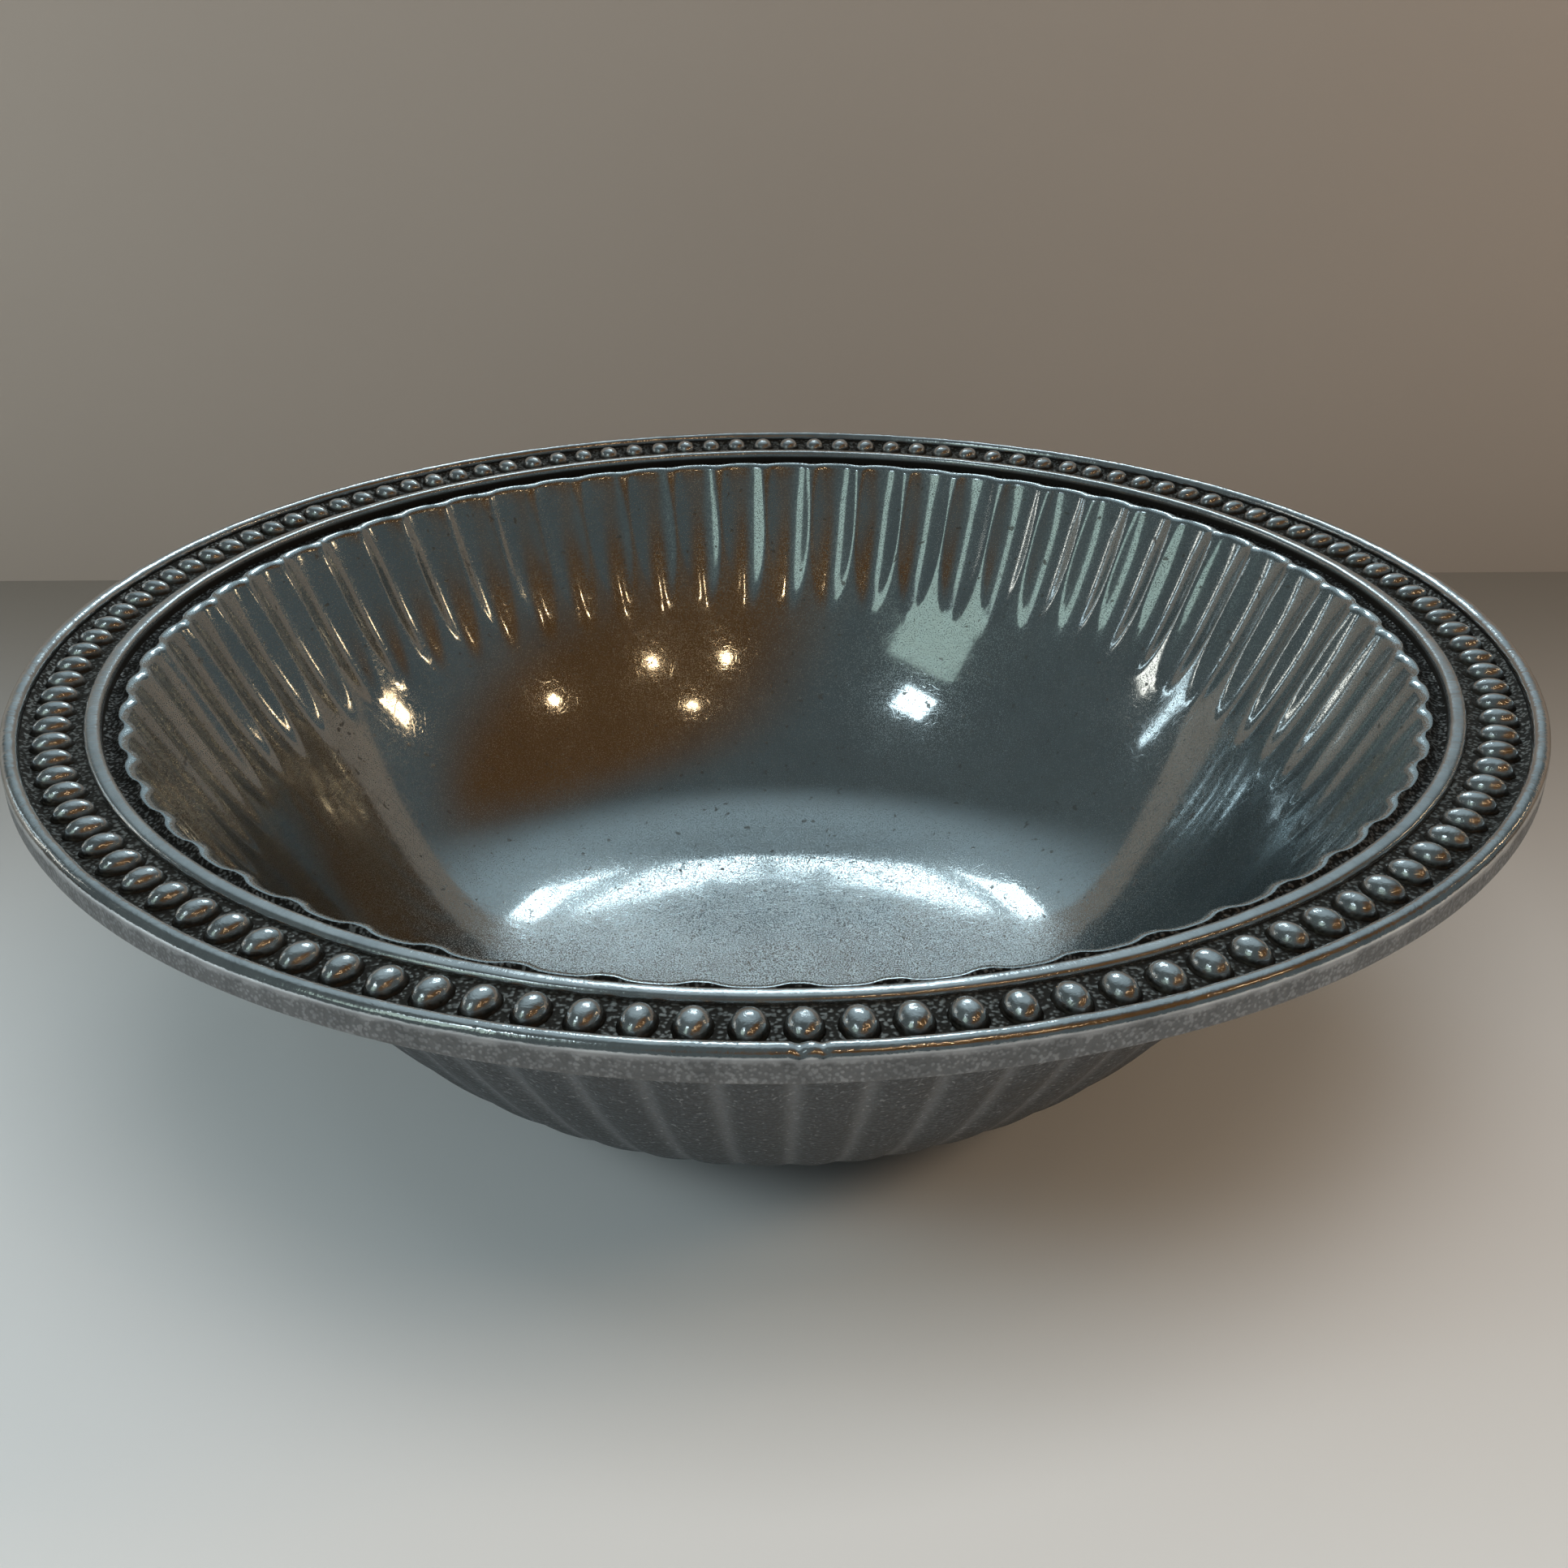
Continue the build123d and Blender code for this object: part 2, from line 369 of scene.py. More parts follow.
# %% One dome and its 120 places
bead_length, bead_width, bead_rise = 8.4 * MM, 6.2 * MM, 3.0 * MM
dome_turns = np.linspace(0, math.pi / 2, 10)[1:]
dome_out = [*np.sin(dome_turns[:-1]) ** 0.92, 1.02, 1.12, 1.10]
dome_up = [*np.cos(dome_turns[:-1]) ** 0.95, 0.07, -0.02, -0.25]
around = np.arange(26) * 2 * math.pi / 26


def bead_points(middle, turn, size, lift):
    """One bead: the rings of its dome, its top point and a point under its foot."""
    rings = np.stack([
        np.outer(dome_out, np.cos(around)) * bead_length / 2 * size,
        np.outer(dome_out, np.sin(around)) * bead_width / 2 * size,
        np.repeat(np.array(dome_up)[:, None], len(around), axis=1) * bead_rise * lift,
    ], axis=-1).reshape(-1, 3)
    ends = np.array([[0, 0, bead_rise * lift], [0, 0, -0.3 * bead_rise * lift]])
    local = np.concatenate([rings, ends])
    turned = local @ np.array(Matrix.Rotation(turn, 3, "Z")).T
    return turned + middle


def bead_faces():
    """Faces of one bead: bands of four-sided faces and a fan at the top and under the foot."""
    bands = sewn_faces(len(dome_out), len(around), closes=False).tolist()
    top, foot = len(dome_out) * len(around), len(dome_out) * len(around) + 1
    last = (len(dome_out) - 1) * len(around)
    fans = []
    for k in range(len(around)):
        after = (k + 1) % len(around)
        fans.append([top, after, k])
        fans.append([foot, last + k, last + after])
    return [face[::-1] for face in bands] + [fan[::-1] for fan in fans]


chance = random.Random(60)
points, faces = [], []
for index in range(bead_count):
    angle = bead_phase + index * 2 * math.pi / bead_count + chance.uniform(-0.0005, 0.0005)
    radius = bead_circle_radius + chance.uniform(-0.12, 0.12) * MM
    middle = np.array([radius * math.cos(angle), radius * math.sin(angle), channel_height])
    turn = angle + chance.uniform(-0.06, 0.06)
    start = index * (len(dome_out) * len(around) + 2)
    points.append(bead_points(middle, turn, chance.uniform(0.97, 1.02), chance.uniform(0.94, 0.99)))
    faces += [[corner + start for corner in face] for face in bead_faces()]

bead_mesh = bpy.data.meshes.new("rim_beads_polished")
bead_mesh.from_pydata(np.concatenate(points).tolist(), [], faces)
bead_mesh.polygons.foreach_set("use_smooth", [True] * len(bead_mesh.polygons))
rim_beads = bpy.data.objects.new("rim_beads_polished", bead_mesh)
bpy.context.scene.collection.objects.link(rim_beads)
stand_for(rim_beads, "polished_bead", "rim_beads")
print(bead_count, "beads,", round(2000 * math.pi * bead_circle_radius / bead_count, 2), "mm apart")

# %% [markdown]
# ## The camera
# The picture was taken by hand, close to the bowl and looking down at it by about 27 degrees. A camera
# that stands where the photographer stood gives the same ellipses and the same foreshortening.

# %% The camera
pitch, yaw, roll = math.radians(27.2247), math.radians(0.2875), math.radians(-0.24)
ahead = Vector((math.sin(yaw) * math.cos(pitch), math.cos(yaw) * math.cos(pitch), -math.sin(pitch)))
level_right = Vector((math.cos(yaw), -math.sin(yaw), 0))
level_up = level_right.cross(ahead)
right = level_right * math.cos(roll) + level_up * math.sin(roll)
up = right.cross(ahead)

lens = bpy.data.cameras.new("camera")
lens.sensor_width, lens.lens = 36, 37.135
camera = bpy.data.objects.new("camera", lens)
bpy.context.scene.collection.objects.link(camera)
in_front, above = 0.37557, 0.25266
turned = Matrix((right, up, -ahead)).transposed().to_4x4()
camera.matrix_world = Matrix.Translation((0, -in_front, above)) @ turned
bpy.context.scene.camera = camera
print("camera", round(camera.location.length, 3), "m from the middle of the base")

# %% [markdown]
# ## Tools for the finishes
# All the finishes are built from nodes and read the bowl's own coordinates, so they stay on the metal
# from every side. Effects that several zones share, such as scratches, casting grain and age, are node
# groups with named inputs: built once, then placed in each material with values of its own.

# %% Helpers that build node trees
def new_group(name, inputs, outputs):
    """An empty node group; inputs are (kind, name, value) and outputs are (kind, name)."""
    group = bpy.data.node_groups.new(name, "ShaderNodeTree")
    for kind, label, value in inputs:
        socket = group.interface.new_socket(label, in_out="INPUT", socket_type="NodeSocket" + kind)
        if value is not None:
            socket.default_value = value
    for kind, label in outputs:
        group.interface.new_socket(label, in_out="OUTPUT", socket_type="NodeSocket" + kind)
    return group, group.nodes.new("NodeGroupInput").outputs, group.nodes.new("NodeGroupOutput").inputs


def feed(tree, socket, value):
    """Links a socket to another one, or sets it to a plain value."""
    if isinstance(value, bpy.types.NodeSocket):
        tree.links.new(value, socket)
    else:
        socket.default_value = value


def maths(tree, operation, *values):
    """One Math node; returns its result."""
    node = tree.nodes.new("ShaderNodeMath")
    node.operation = operation
    for socket, value in zip(node.inputs, values):
        feed(tree, socket, value)
    return node.outputs[0]


def remap(tree, value, low, high, to_low=0.0, to_high=1.0):
    """Spreads the part of a value between low and high over a new range, and holds it there beyond."""
    node = tree.nodes.new("ShaderNodeMapRange")
    node.interpolation_type = "SMOOTHSTEP"
    for socket, number in zip(node.inputs, (value, low, high, to_low, to_high)):
        feed(tree, socket, number)
    return node.outputs[0]


def noise_at(tree, vector, scale, detail=2.0, distortion=0.0, roughness=0.5):
    """A Noise Texture read at a vector; returns its grey value."""
    node = tree.nodes.new("ShaderNodeTexNoise")
    for label, value in (("Vector", vector), ("Scale", scale), ("Detail", detail),
                         ("Distortion", distortion), ("Roughness", roughness)):
        feed(tree, node.inputs[label], value)
    return node.outputs["Fac"]


def mix_colours(tree, share, first, second):
    """A colour between two colours."""
    node = tree.nodes.new("ShaderNodeMix")
    node.data_type = "RGBA"
    for socket, value in zip((node.inputs[0], node.inputs[6], node.inputs[7]), (share, first, second)):
        feed(tree, socket, value)
    return node.outputs[2]

# %% [markdown]
# ## Where a point is on the bowl
# Dirt and painted light follow the shape: hollows stay dull, and the creases outside, which stand at the
# ridges, get a paler painted highlight. The radius, the height and the nearness to a ridge all follow from a
# point's position, so one group works them out for every finish. The cosine of sixty times the angle is 1 on
# every ridge and -1 in the middle of every flute.

# %% The group that reads a place on the bowl
places, given, made = new_group(
    "places_on_the_bowl", [("Vector", "Position", None)],
    [("Float", "Radius"), ("Float", "Height"), ("Float", "Ridge"), ("Vector", "Unrolled")],
)
split = places.nodes.new("ShaderNodeSeparateXYZ")
places.links.new(given["Position"], split.inputs[0])
x, y, z = split.outputs
squares = maths(places, "ADD", maths(places, "MULTIPLY", x, x), maths(places, "MULTIPLY", y, y))
radius = maths(places, "SQRT", squares)
turn = maths(places, "ARCTAN2", y, x)
from_ridge = maths(places, "SUBTRACT", turn, flute_phase)
wave = maths(places, "COSINE", maths(places, "MULTIPLY", from_ridge, flute_count))
places.links.new(radius, made["Radius"])
places.links.new(z, made["Height"])
places.links.new(maths(places, "POWER", maths(places, "MULTIPLY_ADD", wave, 0.5, 0.5), 6.0), made["Ridge"])
unrolled = places.nodes.new("ShaderNodeCombineXYZ")
places.links.new(maths(places, "MULTIPLY", turn, bead_circle_radius), unrolled.inputs[0])
places.links.new(radius, unrolled.inputs[1])
places.links.new(z, unrolled.inputs[2])
places.links.new(unrolled.outputs[0], made["Unrolled"])
print("group", places.name, "gives", [socket.name for socket in made if socket.name])

# %% [markdown]
# ## Hairline scratches
# Years of spoons and cloths leave hair-thin curved lines on polished metal. A line appears wherever a
# smooth noise passes through its middle value, so two such noises, broken up by a third, give swirls
# that never repeat. They feed the bump and the roughness.

# %% The group for hairline scratches
scratches, given, made = new_group(
    "hairline_scratches",
    [("Vector", "Position", None), ("Float", "Scale", 60.0),
     ("Float", "Thinness", 60.0), ("Float", "Amount", 1.0)],
    [("Float", "Lines")],
)
lines = []
for tilt, stretch in ((0.5, (1.0, 3.2, 1.0)), (-0.9, (2.6, 1.0, 1.4)), (1.9, (1.0, 1.7, 3.4))):
    mapping = scratches.nodes.new("ShaderNodeMapping")
    mapping.inputs["Rotation"].default_value = (tilt, 0.7 * tilt, 1.3 * tilt)
    mapping.inputs["Scale"].default_value = stretch
    scratches.links.new(given["Position"], mapping.inputs["Vector"])
    field = noise_at(scratches, mapping.outputs[0], given["Scale"], 1.0, 1.2)
    from_middle = maths(scratches, "ABSOLUTE", maths(scratches, "SUBTRACT", field, 0.5))
    line = maths(scratches, "SUBTRACT", 1.0, maths(scratches, "MULTIPLY", from_middle, given["Thinness"]))
    broken = remap(scratches, noise_at(scratches, mapping.outputs[0], 150.0, 2.0), 0.46, 0.62)
    lines.append(maths(scratches, "MULTIPLY", maths(scratches, "MAXIMUM", line, 0.0), broken))
together = maths(scratches, "MAXIMUM", maths(scratches, "MAXIMUM", lines[0], lines[1]), lines[2])
scratches.links.new(maths(scratches, "MULTIPLY", together, given["Amount"]), made["Lines"])
print("group", scratches.name, "draws", len(lines), "families of lines")

# %% [markdown]
# ## Casting grain
# Metal poured into sand keeps the print of the sand: a close field of rounded grains with deeper pits
# between. Cells of a Voronoi texture give the grains and a fine noise roughens them.

# %% The group for casting grain
cast_grain, given, made = new_group(
    "cast_grain", [("Vector", "Position", None), ("Float", "Scale", 1400.0)],
    [("Float", "Height"), ("Float", "Hollows")],
)
cells = cast_grain.nodes.new("ShaderNodeTexVoronoi")
cells.feature = "SMOOTH_F1"
cells.inputs["Smoothness"].default_value = 0.6
cast_grain.links.new(given["Position"], cells.inputs["Vector"])
cast_grain.links.new(given["Scale"], cells.inputs["Scale"])
fine = noise_at(cast_grain, given["Position"], maths(cast_grain, "MULTIPLY", given["Scale"], 0.7), 4.0)
hollow = maths(cast_grain, "MULTIPLY", cells.outputs["Distance"], -0.9)
height = maths(cast_grain, "MULTIPLY_ADD", fine, 0.9, hollow)
cast_grain.links.new(height, made["Height"])
cast_grain.links.new(remap(cast_grain, height, 0.25, -0.05), made["Hollows"])
print("group", cast_grain.name, "ready")

# %% [markdown]
# ## Age
# Old alloy isn't one colour: it clouds in patches, warmer where food oils and polish were left. A slow
# noise with some finer noise in it gives the clouds, and its contrast is set where it is used.

# %% The group for the clouds of age
age, given, made = new_group(
    "clouds_of_age",
    [("Vector", "Position", None), ("Float", "Scale", 25.0), ("Float", "Sharpness", 0.25)],
    [("Float", "Clouds")],
)
cloud = noise_at(age, given["Position"], given["Scale"], 5.0, 0.4, 0.6)
low, high = maths(age, "SUBTRACT", 0.5, given["Sharpness"]), maths(age, "ADD", 0.5, given["Sharpness"])
age.links.new(remap(age, cloud, low, high), made["Clouds"])
print("group", age.name, "ready")

# %% [markdown]
# ## A material to start from
# Every zone is bare metal, so each material starts as a metallic Principled shader with the bowl's
# coordinates and the group that reads places already in it.

# %% A helper that begins a bare metal
def bare_metal(name):
    """A metallic material; returns it, its tree, its shader, the position and the places group's outputs."""
    material = bpy.data.materials.new(name)
    material.use_nodes = True
    tree = material.node_tree
    shader = tree.nodes["Principled BSDF"]
    shader.inputs["Metallic"].default_value = 1.0
    position = tree.nodes.new("ShaderNodeTexCoord").outputs["Object"]
    where = place(tree, places, Position=position)
    return material, tree, shader, position, where


def place(tree, group, **values):
    """Puts a group into a tree, feeds its inputs and returns its outputs."""
    node = tree.nodes.new("ShaderNodeGroup")
    node.node_tree = group
    for label, value in values.items():
        feed(tree, node.inputs[label], value)
    return node.outputs


def bump_from(tree, shader, *layers):
    """Stacks bumps, coarse first; each layer is a height and how far it stands out in metres."""
    normal = None
    for height, distance in layers:
        bump = tree.nodes.new("ShaderNodeBump")
        bump.inputs["Distance"].default_value = distance
        tree.links.new(height, bump.inputs["Height"])
        if normal is not None:
            tree.links.new(normal, bump.inputs["Normal"])
        normal = bump.outputs["Normal"]
    tree.links.new(normal, shader.inputs["Normal"])


def spread(tree, *terms):
    """Adds up values and numbers."""
    total = terms[0]
    for term in terms[1:]:
        total = maths(tree, "ADD", total, term)
    return total


def times(tree, value, amount):
    return maths(tree, "MULTIPLY", value, amount)

# %% [markdown]
# ## The polished inside
# Floor and plain wall were polished almost to a mirror, but by hand and then scratched in use. Such metal
# shows lamps twice: once sharply, and once as a wide haze. Very fine noise gives both: it splits the
# surface into mirror-bright spots and satin spots, too small to tell apart. The floor, the flutes and the
# clouded patches get a larger share of satin spots, because spoons, sand and age left them duller.

# %% The material for the inside of the bowl
inside_metal, tree, shader, position, where = bare_metal("polished_inside")
clouds = place(tree, age, Position=position, Scale=22.0, Sharpness=0.22)["Clouds"]
fine_clouds = place(tree, age, Position=position, Scale=160.0, Sharpness=0.18)["Clouds"]
lines = place(tree, scratches, Position=position, Scale=48.0, Thinness=70.0, Amount=1.0)["Lines"]
hairs = place(tree, scratches, Position=position, Scale=150.0, Thinness=34.0, Amount=0.8)["Lines"]
in_flutes = remap(tree, where["Height"], 52 * MM, 74 * MM)
on_floor = remap(tree, where["Height"], 14 * MM, 7 * MM)
pits = remap(tree, noise_at(tree, position, 420.0, 1.0), 0.70, 0.76)

metal = mix_colours(tree, clouds, (0.46, 0.505, 0.525, 1), (0.53, 0.58, 0.60, 1))
metal = mix_colours(tree, times(tree, fine_clouds, 0.2), metal, (0.42, 0.41, 0.39, 1))
metal = mix_colours(tree, times(tree, pits, 0.6), metal, (0.20, 0.18, 0.16, 1))
tree.links.new(metal, shader.inputs["Base Color"])
specks = noise_at(tree, position, 3200.0, 2.0)
satin_above = spread(
    tree, 0.60, times(tree, on_floor, -0.100), times(tree, in_flutes, -0.03), times(tree, clouds, -0.03)
)
satin = remap(tree, maths(tree, "SUBTRACT", specks, satin_above), -0.03, 0.03)
rough = spread(
    tree, remap(tree, clouds, 0, 1, 0.045, 0.065), times(tree, in_flutes, 0.035), times(tree, satin, 0.32),
    times(tree, lines, 0.08), times(tree, hairs, 0.05), times(tree, pits, 0.2),
)
tree.links.new(rough, shader.inputs["Roughness"])
rolling = noise_at(tree, position, 38.0, 1.0)
surface_lines = spread(tree, times(tree, lines, -1.0), times(tree, hairs, -0.6), times(tree, pits, -2.5))
bump_from(tree, shader, (rolling, 0.00008), (surface_lines, 0.000004))
print("made", inside_metal.name)

# %% [markdown]
# ## The rough places: groove, channel and outside
# What the wheel never touched keeps its casting skin. In the groove and the channel it has gone nearly black
# with polish and grime, while the outside is a dry, even grey, set darker than the alloy's own as painted
# shade. Along each crease between two lobes runs a paler line, which is a painted highlight.

# %% The material for the dark groove round the mouth
groove_metal, tree, shader, position, where = bare_metal("dark_groove")
grain_parts = place(tree, cast_grain, Position=position, Scale=1250.0)
clouds = place(tree, age, Position=position, Scale=90.0, Sharpness=0.2)["Clouds"]
metal = mix_colours(tree, clouds, (0.16, 0.155, 0.15, 1), (0.26, 0.25, 0.24, 1))
metal = mix_colours(tree, grain_parts["Hollows"], metal, (0.045, 0.04, 0.036, 1))
tree.links.new(metal, shader.inputs["Base Color"])
tree.links.new(remap(tree, grain_parts["Hollows"], 0, 1, 0.42, 0.75), shader.inputs["Roughness"])
bump_from(tree, shader, (grain_parts["Height"], 0.00022))
print("made", groove_metal.name)

# %% The material for the floor of the beaded channel
channel_metal, tree, shader, position, where = bare_metal("channel_grime")
grain_parts = place(tree, cast_grain, Position=position, Scale=1100.0)
clouds = place(tree, age, Position=position, Scale=60.0, Sharpness=0.25)["Clouds"]
metal = mix_colours(tree, clouds, (0.20, 0.195, 0.185, 1), (0.30, 0.285, 0.265, 1))
metal = mix_colours(tree, times(tree, grain_parts["Hollows"], 0.8), metal, (0.06, 0.052, 0.045, 1))
tree.links.new(metal, shader.inputs["Base Color"])
tree.links.new(remap(tree, grain_parts["Hollows"], 0, 1, 0.45, 0.8), shader.inputs["Roughness"])
bump_from(tree, shader, (grain_parts["Height"], 0.00025))
print("made", channel_metal.name)

# %% The material for the sand-cast outside
outside_metal, tree, shader, position, where = bare_metal("sand_cast_outside")
grain_parts = place(tree, cast_grain, Position=position, Scale=1150.0)
clouds = place(tree, age, Position=position, Scale=45.0, Sharpness=0.2)["Clouds"]
specks = remap(tree, noise_at(tree, position, 900.0, 2.0), 0.62, 0.70)
# Painted shade: this grey is darker than the cast alloy's own, standing for the shade on the bowl's outside.
metal = mix_colours(tree, clouds, (0.135, 0.145, 0.155, 1), (0.190, 0.200, 0.210, 1))
metal = mix_colours(tree, times(tree, grain_parts["Hollows"], 0.7), metal, (0.10, 0.10, 0.10, 1))
on_wall = remap(tree, where["Height"], rim_underside - 0.6 * MM, rim_underside - 2.1 * MM, 0.0, 0.40)
# Painted highlight: a paler line along each crease between two lobes of the outside wall.
metal = mix_colours(tree, maths(tree, "MULTIPLY", where["Ridge"], on_wall), metal, (0.40, 0.41, 0.42, 1))
metal = mix_colours(tree, times(tree, specks, 0.5), metal, (0.55, 0.56, 0.57, 1))
tree.links.new(metal, shader.inputs["Base Color"])
tree.links.new(remap(tree, clouds, 0, 1, 0.52, 0.64), shader.inputs["Roughness"])
bump_from(tree, shader, (grain_parts["Height"], 0.00018))
print("made", outside_metal.name)

# %% [markdown]
# ## Rails and beads
# The rails were drawn along a wheel, which leaves fine marks across them. Reading the position unrolled round
# the rim, as if the rail were laid out straight, lets one stretched noise make those marks all the way round.
# Both rails are darkened low down by the channel as painted shade. The beads are bright on top, and go dull
# and dark down towards the channel; the dark is painted shade.

# %% The group for brushing across a rail
brushing, given, made = new_group(
    "brushing_across",
    [("Vector", "Unrolled", None), ("Float", "Along", 2200.0), ("Float", "Across", 120.0)],
    [("Float", "Marks")],
)
stretched = brushing.nodes.new("ShaderNodeVectorMath")
stretched.operation = "MULTIPLY"
scales = brushing.nodes.new("ShaderNodeCombineXYZ")
brushing.links.new(given["Along"], scales.inputs[0])
brushing.links.new(given["Across"], scales.inputs[1])
brushing.links.new(given["Across"], scales.inputs[2])
brushing.links.new(given["Unrolled"], stretched.inputs[0])
brushing.links.new(scales.outputs[0], stretched.inputs[1])
brushing.links.new(noise_at(brushing, stretched.outputs[0], 1.0, 3.0, 0.3), made["Marks"])
print("group", brushing.name, "ready")

# %% The material for the inner rail
rail_metal, tree, shader, position, where = bare_metal("polished_rail")
marks = place(tree, brushing, Unrolled=where["Unrolled"], Along=1500.0, Across=160.0)["Marks"]
clouds = place(tree, age, Position=position, Scale=120.0, Sharpness=0.25)["Clouds"]
low_down = remap(tree, where["Height"], channel_height + 0.4 * MM, channel_height - 0.8 * MM)
metal = mix_colours(tree, clouds, (0.52, 0.545, 0.56, 1), (0.68, 0.70, 0.71, 1))
# Painted shade: the rail darkens low on its flanks, by the groove and the channel.
metal = mix_colours(tree, low_down, metal, (0.10, 0.09, 0.08, 1))
tree.links.new(metal, shader.inputs["Base Color"])
rough = spread(tree, remap(tree, marks, 0.3, 0.7, 0.15, 0.27), times(tree, low_down, 0.40))
tree.links.new(rough, shader.inputs["Roughness"])
bump_from(tree, shader, (clouds, 0.00006), (marks, 0.00003))
print("made", rail_metal.name)

# %% The material for the outer rail: polished crown, satin speckled face
edge_metal, tree, shader, position, where = bare_metal("worn_edge")
marks = place(tree, brushing, Unrolled=where["Unrolled"], Along=900.0, Across=260.0)["Marks"]
grain_parts = place(tree, cast_grain, Position=position, Scale=1300.0)
clouds = place(tree, age, Position=position, Scale=140.0, Sharpness=0.2)["Clouds"]
on_face = remap(tree, where["Height"], channel_height + 2.0 * MM, channel_height + 1.2 * MM)
uneven_height = spread(tree, where["Height"], times(tree, clouds, 0.8 * MM))
granular = remap(tree, uneven_height, channel_height + 1.8 * MM, channel_height + 0.8 * MM)
by_the_channel = remap(tree, where["Radius"], channel_outer_radius + 0.9 * MM, channel_outer_radius + 0.2 * MM)
below_the_crown = remap(tree, where["Height"], channel_height + 2.1 * MM, channel_height + 0.6 * MM)
inner_side = times(tree, by_the_channel, below_the_crown)
metal = mix_colours(tree, clouds, (0.54, 0.56, 0.575, 1), (0.68, 0.70, 0.71, 1))
satin_metal = mix_colours(tree, clouds, (0.20, 0.205, 0.21, 1), (0.30, 0.305, 0.31, 1))
metal = mix_colours(tree, on_face, metal, satin_metal)
hollows = times(tree, times(tree, granular, 0.6), grain_parts["Hollows"])
metal = mix_colours(tree, hollows, metal, (0.10, 0.10, 0.10, 1))
# Painted shade: the inner side of the rail, down by the channel, is darkened.
metal = mix_colours(tree, inner_side, metal, (0.08, 0.07, 0.06, 1))
tree.links.new(metal, shader.inputs["Base Color"])
rough = spread(
    tree, remap(tree, marks, 0.3, 0.7, 0.11, 0.20), times(tree, granular, 0.30), times(tree, inner_side, 0.3)
)
tree.links.new(rough, shader.inputs["Roughness"])
face_grain = times(tree, grain_parts["Height"], remap(tree, granular, 0, 1, 0.1, 1.0))
bump_from(tree, shader, (clouds, 0.00008), (face_grain, 0.00012), (marks, 0.00002))
print("made", edge_metal.name)

# %% The material for the beads
bead_metal, tree, shader, position, where = bare_metal("polished_bead")
clouds = place(tree, age, Position=position, Scale=260.0, Sharpness=0.25)["Clouds"]
grain_parts = place(tree, cast_grain, Position=position, Scale=1300.0)
uneven_height = spread(tree, where["Height"], times(tree, clouds, 0.5 * MM))
at_foot = remap(tree, uneven_height, channel_height + 2.0 * MM, channel_height + 0.5 * MM)
metal = mix_colours(tree, clouds, (0.52, 0.54, 0.55, 1), (0.70, 0.72, 0.73, 1))
# Painted shade: each bead darkens from part way up down to its foot in the channel.
metal = mix_colours(tree, at_foot, metal, (0.07, 0.06, 0.05, 1))
tree.links.new(metal, shader.inputs["Base Color"])
rough = spread(tree, remap(tree, clouds, 0, 1, 0.15, 0.22), times(tree, at_foot, 0.30))
tree.links.new(rough, shader.inputs["Roughness"])
foot_grain = times(tree, grain_parts["Height"], remap(tree, at_foot, 0, 1, 0.25, 1.0))
bump_from(tree, shader, (clouds, 0.00008), (foot_grain, 0.00010))
print("made", bead_metal.name)

# %% Each finish on its piece
finishes = {
    cast_bowl: [inside_metal, groove_metal, outside_metal],
    channel_floor: [channel_metal, outside_metal],
    inner_rail: [rail_metal, outside_metal],
    outer_rail: [edge_metal, outside_metal],
    rim_beads: [bead_metal],
}
for piece, materials in finishes.items():
    for material in materials:
        piece.data.materials.append(material)
    print(piece.name, "wears", [material.name for material in materials])

# %% [markdown]
# ## Table and wall
# The bowl stands on a pale painted table close to a low wall. Both are plain matte surfaces, so they only give
# the metal something calm to reflect. The table is near white in front and much darker towards the wall; that
# darkening is painted shade, standing for the shade that lies along the wall. The wall shows its front alone:
# from behind it lets the camera through, so the bowl can be looked at from every side. A window shines in over
# its top.

# %% The stage
def stage_material(name, first, second, roughness, scale, shade=None):
    """A matte surface that is a little uneven in colour, with a painted shade colour towards the back when one
    is given, and clear to a camera behind it.
    """
    material = bpy.data.materials.new(name)
    material.use_nodes = True
    tree = material.node_tree
    shader = tree.nodes["Principled BSDF"]
    shader.inputs["Roughness"].default_value = roughness
    position = tree.nodes.new("ShaderNodeTexCoord").outputs["Object"]
    paint = mix_colours(tree, noise_at(tree, position, scale, 4.0), first, second)
    if shade:
        split = tree.nodes.new("ShaderNodeSeparateXYZ")
        tree.links.new(position, split.inputs[0])
        # Painted shade: the colour fades to the shade colour towards the wall at the back.
        paint = mix_colours(tree, remap(tree, split.outputs[1], -0.22, 0.33), paint, shade)
    tree.links.new(paint, shader.inputs["Base Color"])
    behind = maths(tree, "MULTIPLY", tree.nodes.new("ShaderNodeNewGeometry").outputs["Backfacing"],
                   tree.nodes.new("ShaderNodeLightPath").outputs["Is Camera Ray"])
    either = tree.nodes.new("ShaderNodeMixShader")
    tree.links.new(behind, either.inputs[0])
    tree.links.new(shader.outputs[0], either.inputs[1])
    tree.links.new(tree.nodes.new("ShaderNodeBsdfTransparent").outputs[0], either.inputs[2])
    tree.links.new(either.outputs[0], tree.nodes["Material Output"].inputs["Surface"])
    return material


def stage_sheet(name, corners, material):
    """One flat sheet of the stage."""
    mesh = bpy.data.meshes.new(name)
    mesh.from_pydata(corners, [], [list(range(len(corners)))])
    sheet = bpy.data.objects.new(name, mesh)
    sheet.data.materials.append(material)
    bpy.context.scene.collection.objects.link(sheet)


wall_distance, wall_top = 0.322, 0.250
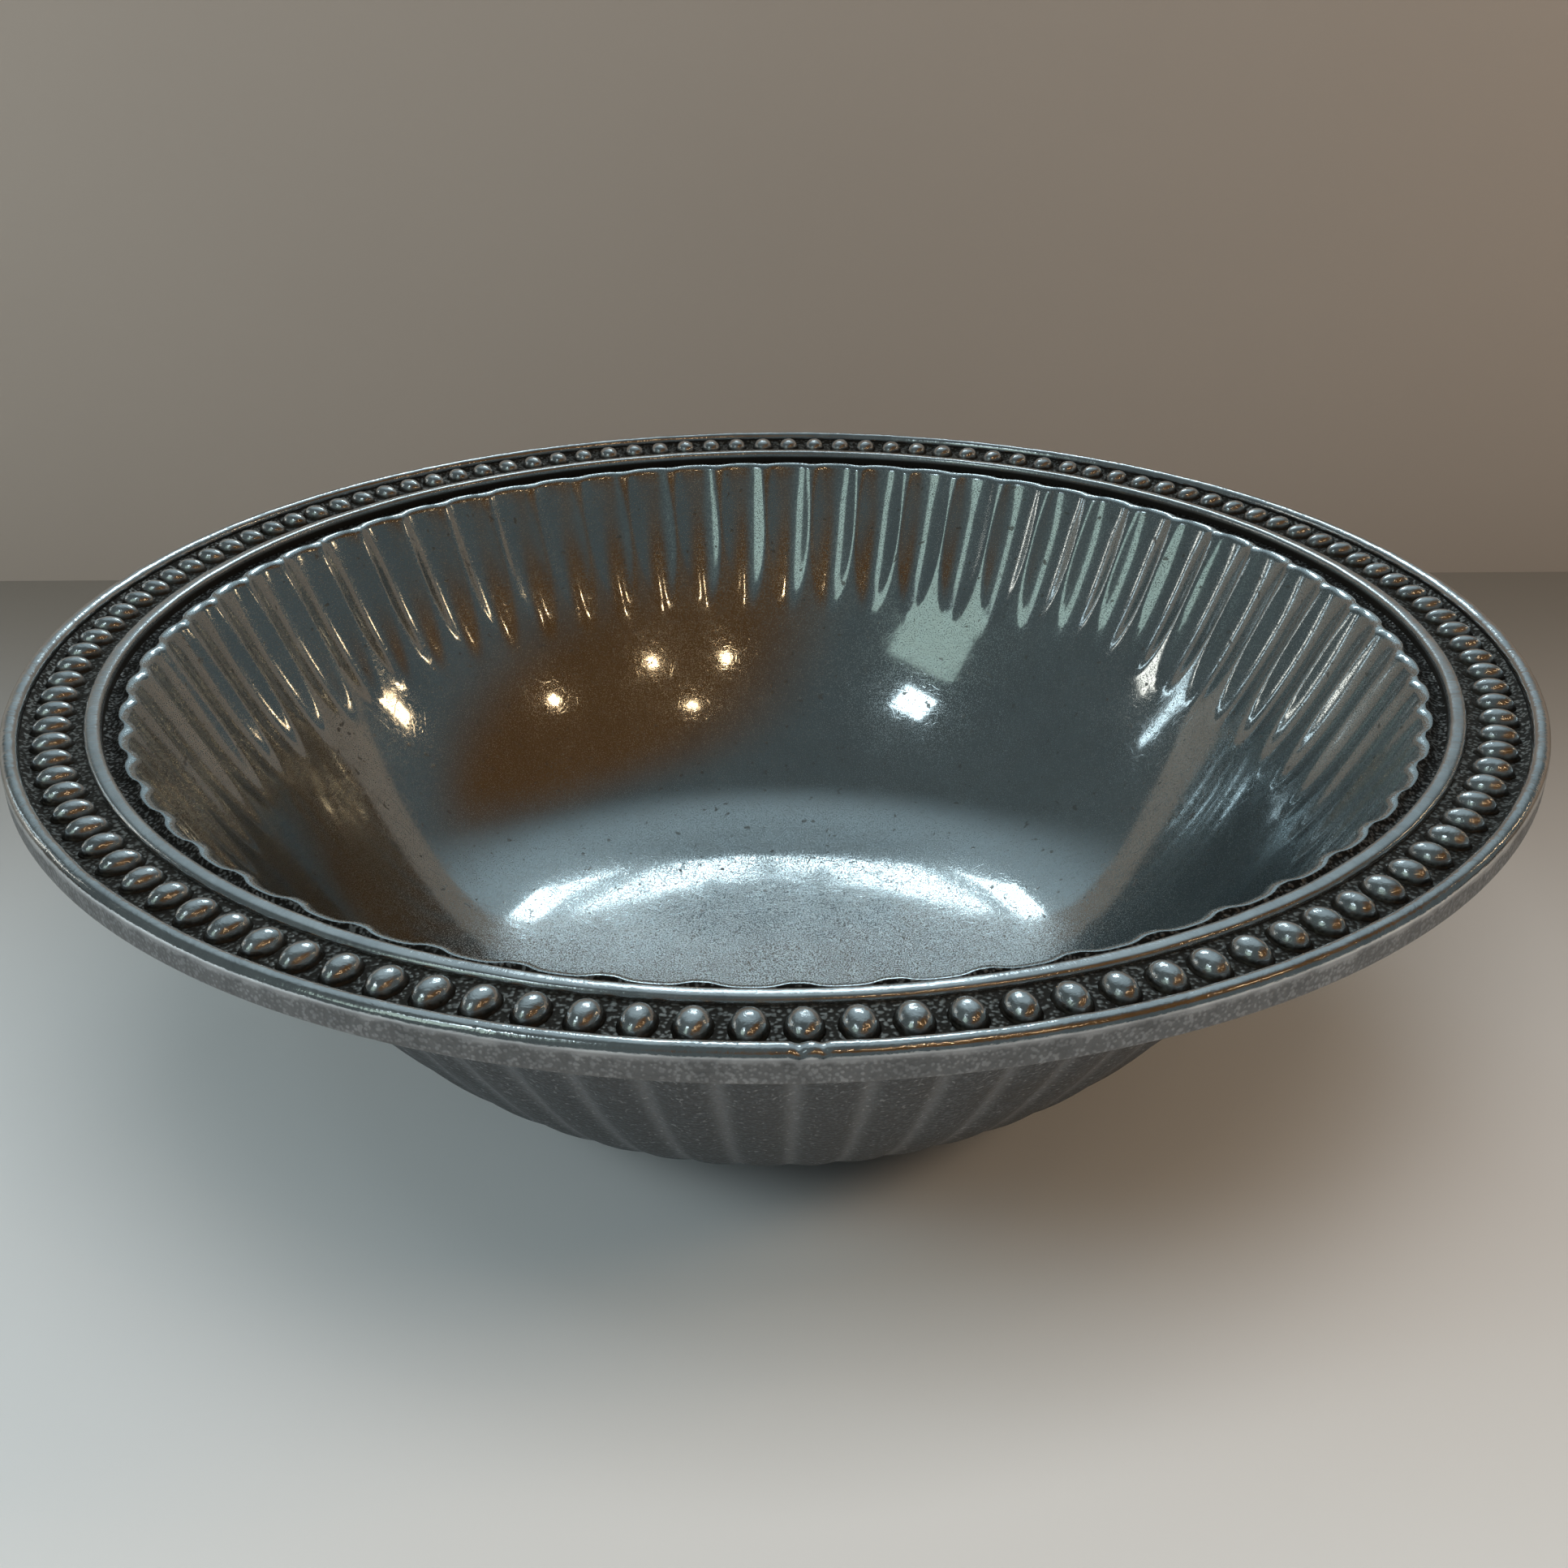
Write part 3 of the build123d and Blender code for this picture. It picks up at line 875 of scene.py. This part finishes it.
# The table's shade colour is painted shade along the wall.
table_paint = stage_material(
    "table_paint", (0.83, 0.83, 0.83, 1), (0.88, 0.88, 0.88, 1), 0.5, 6.0, shade=(0.19, 0.175, 0.155, 1)
)
wall_paint = stage_material("wall_paint", (0.36, 0.305, 0.265, 1), (0.40, 0.345, 0.30, 1), 0.8, 3.0)
reach = 3.0
stage_sheet(
    "table", [(-reach, -reach, 0), (reach, -reach, 0), (reach, reach, 0), (-reach, reach, 0)], table_paint
)
stage_sheet(
    "wall",
    [(-reach, wall_distance, 0), (reach, wall_distance, 0),
     (reach, wall_distance, wall_top), (-reach, wall_distance, wall_top)],
    wall_paint,
)
print("the wall stands", wall_distance, "m behind the middle of the bowl")

# %% [markdown]
# ## Light
# Polished metal shows its lamps, so the lamps are the picture. Three cool panes shine in over the wall
# like a far window: they make the band on the floor and the sparks on the beads. A greenish window with a
# pane of sky stands on the left behind the camera, two narrow ones stand far left, and five small warm
# lamps hang on the right. These are all small and weak. Three wide fills do most of the work on the table
# and the wall; they are hidden from the metal, where they would show as glaring boxes. The world is a dim
# room: cool all round, brown high up on the right, and paler about the far window.

# %% The softboxes and the world
inside_the_bowl = Vector((0, 0, 60 * MM))


def softbox(name, place_at, width, depth, radiance, colour, mirrored=True):
    """A rectangular lamp that faces the bowl; power follows from size. Metal doesn't show unmirrored ones."""
    lamp = bpy.data.lights.new(name, "AREA")
    lamp.shape, lamp.size, lamp.size_y = "RECTANGLE", width, depth
    lamp.energy, lamp.color = math.pi * width * depth * radiance, colour
    holder = bpy.data.objects.new(name, lamp)
    holder.location = place_at
    holder.rotation_euler = (Vector(place_at) - inside_the_bowl).to_track_quat("Z", "Y").to_euler()
    holder.visible_glossy = mirrored
    bpy.context.scene.collection.objects.link(holder)
    return holder


cool, warm = (0.78, 0.94, 1.0), (1.0, 0.68, 0.38)
for name, x, width in [("left", -0.140, 0.165), ("middle", -0.006, 0.044), ("right", 0.133, 0.175)]:
    softbox("far_window_" + name, (x, 1.10, 0.955), width, 0.145, 7.0, cool)
softbox("side_window", (-0.72, -0.62, 0.78), 0.36, 0.50, 0.60, (0.78, 1.0, 0.88))
softbox("side_window_sky", (-0.66, -0.46, 1.24), 0.20, 0.15, 5.0, cool)
softbox("left_window", (-1.05, 0.35, 0.42), 0.05, 0.30, 2.6, (1.0, 0.95, 0.85))
softbox("left_far_window", (-0.98, 0.52, 0.45), 0.04, 0.30, 2.2, cool)
warm_places = [(0.385, -0.516, 1.23), (0.566, -0.62, 1.03), (0.236, -0.758, 1.08), (0.889, -0.198, 0.95)]
for number, place_at in enumerate(warm_places):
    softbox(f"warm_lamp_{number + 1}", place_at, 0.035, 0.035, 26.0, warm)
softbox("low_warm_lamp", (1.03, 0.45, 0.56), 0.06, 0.06, 9.0, warm)
softbox("front_fill", (0.05, -0.45, 1.15), 0.7, 0.6, 3.6, (1.0, 0.98, 0.96), mirrored=False)
softbox("left_fill", (-1.05, -0.25, 0.55), 0.5, 0.5, 8.0, (0.80, 0.95, 1.0), mirrored=False)
softbox("right_fill", (1.0, -0.10, 0.60), 0.3, 0.3, 11.0, (1.0, 0.74, 0.50), mirrored=False)

world = bpy.data.worlds.new("dim_room")
world.use_nodes = True
room = world.node_tree
direction = room.nodes.new("ShaderNodeTexCoord").outputs["Generated"]


def facing(towards, low, high):
    """1 where the room is seen in one direction, falling smoothly to 0 away from it."""
    product = room.nodes.new("ShaderNodeVectorMath")
    product.operation = "DOT_PRODUCT"
    room.links.new(direction, product.inputs[0])
    product.inputs[1].default_value = towards
    return remap(room, product.outputs["Value"], low, high)


cool_room, warm_room, far_glow = (0.090, 0.110, 0.112, 1), (0.115, 0.058, 0.022, 1), (0.38, 0.48, 0.52, 1)
warm_side = mix_colours(room, facing((0.85, -0.52, 0.0), 0.10, 0.50), cool_room, warm_room)
room_colour = mix_colours(room, facing((0.0, 0.0, 1.0), 0.44, 0.64), cool_room, warm_side)
room_colour = mix_colours(room, facing((0.0, 0.74, 0.67), 0.73, 0.985), room_colour, far_glow)
room.links.new(room_colour, room.nodes["Background"].inputs["Color"])
bpy.context.scene.world = world
bpy.context.scene.view_settings.view_transform = "Standard"
